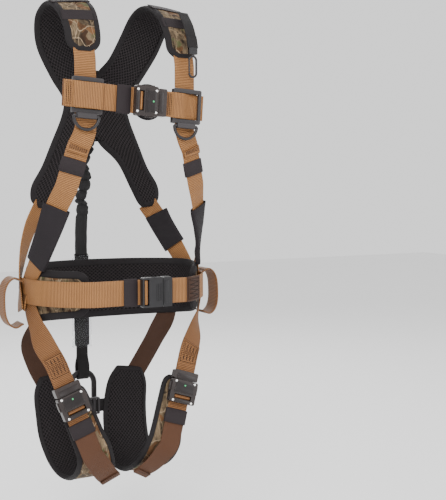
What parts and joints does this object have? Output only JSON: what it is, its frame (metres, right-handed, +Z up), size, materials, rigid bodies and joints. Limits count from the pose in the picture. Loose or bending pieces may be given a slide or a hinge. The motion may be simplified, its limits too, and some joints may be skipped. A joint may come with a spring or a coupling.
{
  "type": "full-body safety harness",
  "caption": "full-body fall-arrest harness with a padded X-shaped yoke, padded belt and leg loops, quick buckles, side loops and a back tether with a carabiner",
  "frame": {"origin": "midway between the shoulders, level with the underside of the yoke where it rests on the wearer", "axes": "+Z up, -Y the way the wearer faces, +X the wearer's left"},
  "size_m": [0.4184, 0.2828, 0.859],
  "materials": {
    "padding": "spacer mesh inside, printed camouflage fabric outside, black binding",
    "webbing_tan": "coyote-brown polyester webbing, stitched",
    "webbing_brown": "dark brown polyester webbing",
    "webbing_black": "black polyester webbing",
    "elastic": "black elastic",
    "buckle_metal": "black anodised aluminium buckle with bright rivets",
    "frame_metal": "grey-black coated steel and aluminium",
    "plastic": "moulded black nylon",
    "clear_cover": "clear soft vinyl"
  },
  "bodies": {
    "harness": {"yoke_pad": "padding", "belt_pad": "padding", "belt_ladder": "webbing_black", "waist_strap_right": "webbing_tan", "waist_strap_left": "webbing_tan", "strap_covers": "webbing_black", "link_strap": "webbing_black", "dorsal_strap": "webbing_black", "tether_cord": "elastic", "absorber_pack": "webbing_black", "absorber_cover": "clear_cover", "waist_plug": "plastic", "snap_strap": "webbing_black", "snap_eye": "plastic", "shoulder_strap_right": "webbing_tan", "back_strap_right": "webbing_tan", "side_loop_right": "webbing_tan", "leg_strap_upper_right": "webbing_tan", "leg_strap_lower_right": "webbing_tan", "leg_pad_right": "padding", "leg_strap_rear_right": "webbing_brown", "leg_tongue_right": "buckle_metal", "shoulder_strap_left": "webbing_tan", "back_strap_left": "webbing_tan", "side_loop_left": "webbing_tan", "leg_strap_upper_left": "webbing_tan", "leg_strap_lower_left": "webbing_tan", "leg_pad_left": "padding", "leg_strap_rear_left": "webbing_brown", "leg_tongue_left": "buckle_metal"},
    "chest_rig": {"chest_strap_right": "webbing_tan", "chest_strap_left": "webbing_tan", "chest_tongue": "buckle_metal", "chest_buckle_pad": "plastic", "slider_right": "frame_metal", "slider_left": "frame_metal"},
    "d_ring_right": {"d_ring_right": "frame_metal"},
    "d_ring_left": {"d_ring_left": "frame_metal"},
    "chest_receiver": {"chest_receiver": "buckle_metal"},
    "chest_latch_a": {"chest_latch_a": "buckle_metal"},
    "chest_latch_b": {"chest_latch_b": "buckle_metal"},
    "chest_keeper": {"chest_keeper": "elastic"},
    "shoulder_keeper_right": {"shoulder_keeper_right": "elastic"},
    "shoulder_keeper_left": {"shoulder_keeper_left": "elastic"},
    "waist_socket": {"waist_socket": "plastic"},
    "waist_keeper": {"waist_keeper": "elastic"},
    "leg_receiver_right": {"leg_receiver_right": "buckle_metal"},
    "leg_latch_a_right": {"leg_latch_a_right": "buckle_metal"},
    "leg_latch_b_right": {"leg_latch_b_right": "buckle_metal"},
    "leg_keeper_right": {"leg_keeper_right": "elastic"},
    "leg_receiver_left": {"leg_receiver_left": "buckle_metal"},
    "leg_latch_a_left": {"leg_latch_a_left": "buckle_metal"},
    "leg_latch_b_left": {"leg_latch_b_left": "buckle_metal"},
    "leg_keeper_left": {"leg_keeper_left": "elastic"},
    "tri_glide": {"tri_glide": "frame_metal"},
    "carabiner": {"carabiner": "frame_metal"},
    "carabiner_gate": {"carabiner_gate": "frame_metal"},
    "carabiner_lock": {"carabiner_lock": "frame_metal"},
    "snap_hook": {"snap_hook": "frame_metal"},
    "snap_gate": {"snap_gate": "frame_metal"}
  },
  "joints": [
    {"name": "chest_height", "type": "slide", "parent": "harness", "child": "chest_rig", "axis": [0, 0, 1], "range_m": [-0.008, 0.012]},
    {"name": "d_ring_right_swing", "type": "hinge", "parent": "chest_rig", "child": "d_ring_right", "pos_m": [-0.09394, -0.11925, -0.20082], "axis": [0.9981, 0, -0.061], "range_deg": [-110, 3]},
    {"name": "d_ring_left_swing", "type": "hinge", "parent": "chest_rig", "child": "d_ring_left", "pos_m": [0.08972, -0.11925, -0.21205], "axis": [0.9981, 0, -0.061], "range_deg": [-110, 3]},
    {"name": "chest_release", "type": "slide", "parent": "chest_rig", "child": "chest_receiver", "axis": [-0.9981, 0, 0.061], "range_m": [0, 0.012]},
    {"name": "chest_latch_a_press", "type": "slide", "parent": "chest_receiver", "child": "chest_latch_a", "axis": [-0.061, 0, -0.9981], "range_m": [0, 0.0025], "stiffness_N_per_m": 400},
    {"name": "chest_latch_b_press", "type": "slide", "parent": "chest_receiver", "child": "chest_latch_b", "axis": [0.061, 0, 0.9981], "range_m": [0, 0.0025], "stiffness_N_per_m": 400},
    {"name": "chest_keeper_slide", "type": "slide", "parent": "chest_receiver", "child": "chest_keeper", "axis": [-0.9981, 0, 0.061], "range_m": [0, 0.008]},
    {"name": "shoulder_keeper_right_slide", "type": "slide", "parent": "harness", "child": "shoulder_keeper_right", "axis": [0.255, -0.1434, 0.9562], "range_m": [-0.01, 0.01]},
    {"name": "shoulder_keeper_left_slide", "type": "slide", "parent": "harness", "child": "shoulder_keeper_left", "axis": [-0.255, -0.1434, 0.9562], "range_m": [-0.01, 0.01]},
    {"name": "waist_release", "type": "slide", "parent": "harness", "child": "waist_socket", "axis": [-1, 0, 0], "range_m": [0, 0.024]},
    {"name": "waist_keeper_slide", "type": "slide", "parent": "waist_socket", "child": "waist_keeper", "axis": [-1, 0, 0], "range_m": [0, 0.01]},
    {"name": "leg_release_right", "type": "slide", "parent": "harness", "child": "leg_receiver_right", "axis": [0.3159, -0.1739, -0.9327], "range_m": [0, 0.016]},
    {"name": "leg_latch_a_right_press", "type": "slide", "parent": "leg_receiver_right", "child": "leg_latch_a_right", "axis": [0.9488, 0.0578, 0.3106], "range_m": [0, 0.0025], "stiffness_N_per_m": 400},
    {"name": "leg_latch_b_right_press", "type": "slide", "parent": "leg_receiver_right", "child": "leg_latch_b_right", "axis": [-0.9488, -0.0578, -0.3106], "range_m": [0, 0.0025], "stiffness_N_per_m": 400},
    {"name": "leg_keeper_right_slide", "type": "slide", "parent": "leg_receiver_right", "child": "leg_keeper_right", "axis": [0.3159, -0.1739, -0.9327], "range_m": [0, 0.008]},
    {"name": "leg_release_left", "type": "slide", "parent": "harness", "child": "leg_receiver_left", "axis": [-0.3159, -0.1739, -0.9327], "range_m": [0, 0.016]},
    {"name": "leg_latch_a_left_press", "type": "slide", "parent": "leg_receiver_left", "child": "leg_latch_a_left", "axis": [0.9488, -0.0578, -0.3106], "range_m": [0, 0.0025], "stiffness_N_per_m": 400},
    {"name": "leg_latch_b_left_press", "type": "slide", "parent": "leg_receiver_left", "child": "leg_latch_b_left", "axis": [-0.9488, 0.0578, 0.3106], "range_m": [0, 0.0025], "stiffness_N_per_m": 400},
    {"name": "leg_keeper_left_slide", "type": "slide", "parent": "leg_receiver_left", "child": "leg_keeper_left", "axis": [-0.3159, -0.1739, -0.9327], "range_m": [0, 0.008]},
    {"name": "tri_glide_slide", "type": "slide", "parent": "harness", "child": "tri_glide", "axis": [1, 0, 0], "range_m": [-0.01, 0.004]},
    {"name": "carabiner_swing", "type": "hinge", "parent": "harness", "child": "carabiner", "pos_m": [-0.014, 0.134, -0.684], "axis": [1, 0, 0], "range_deg": [-20, 45]},
    {"name": "carabiner_gate_open", "type": "hinge", "parent": "carabiner", "child": "carabiner_gate", "pos_m": [-0.038, 0.134, -0.7468], "axis": [0, 1, 0], "range_deg": [0, 22], "stiffness_Nm_per_rad": 0.05},
    {"name": "carabiner_lock_twist", "type": "hinge", "parent": "carabiner_gate", "child": "carabiner_lock", "pos_m": [-0.038, 0.134, -0.724], "axis": [0, 0, 1], "range_deg": [0, 60], "stiffness_Nm_per_rad": 0.01},
    {"name": "snap_swivel", "type": "hinge", "parent": "harness", "child": "snap_hook", "pos_m": [0.103, -0.121, -0.09], "axis": [0, 0, 1], "continuous": true},
    {"name": "snap_gate_open", "type": "hinge", "parent": "snap_hook", "child": "snap_gate", "pos_m": [0.096, -0.121, -0.1171], "axis": [0, 1, 0], "range_deg": [0, 22], "stiffness_Nm_per_rad": 0.01}
  ],
  "couplings": [
    {"joint": "chest_latch_b_press", "follows": "chest_latch_a_press", "ratio": 1},
    {"joint": "leg_latch_b_right_press", "follows": "leg_latch_a_right_press", "ratio": 1},
    {"joint": "leg_latch_b_left_press", "follows": "leg_latch_a_left_press", "ratio": 1}
  ]
}
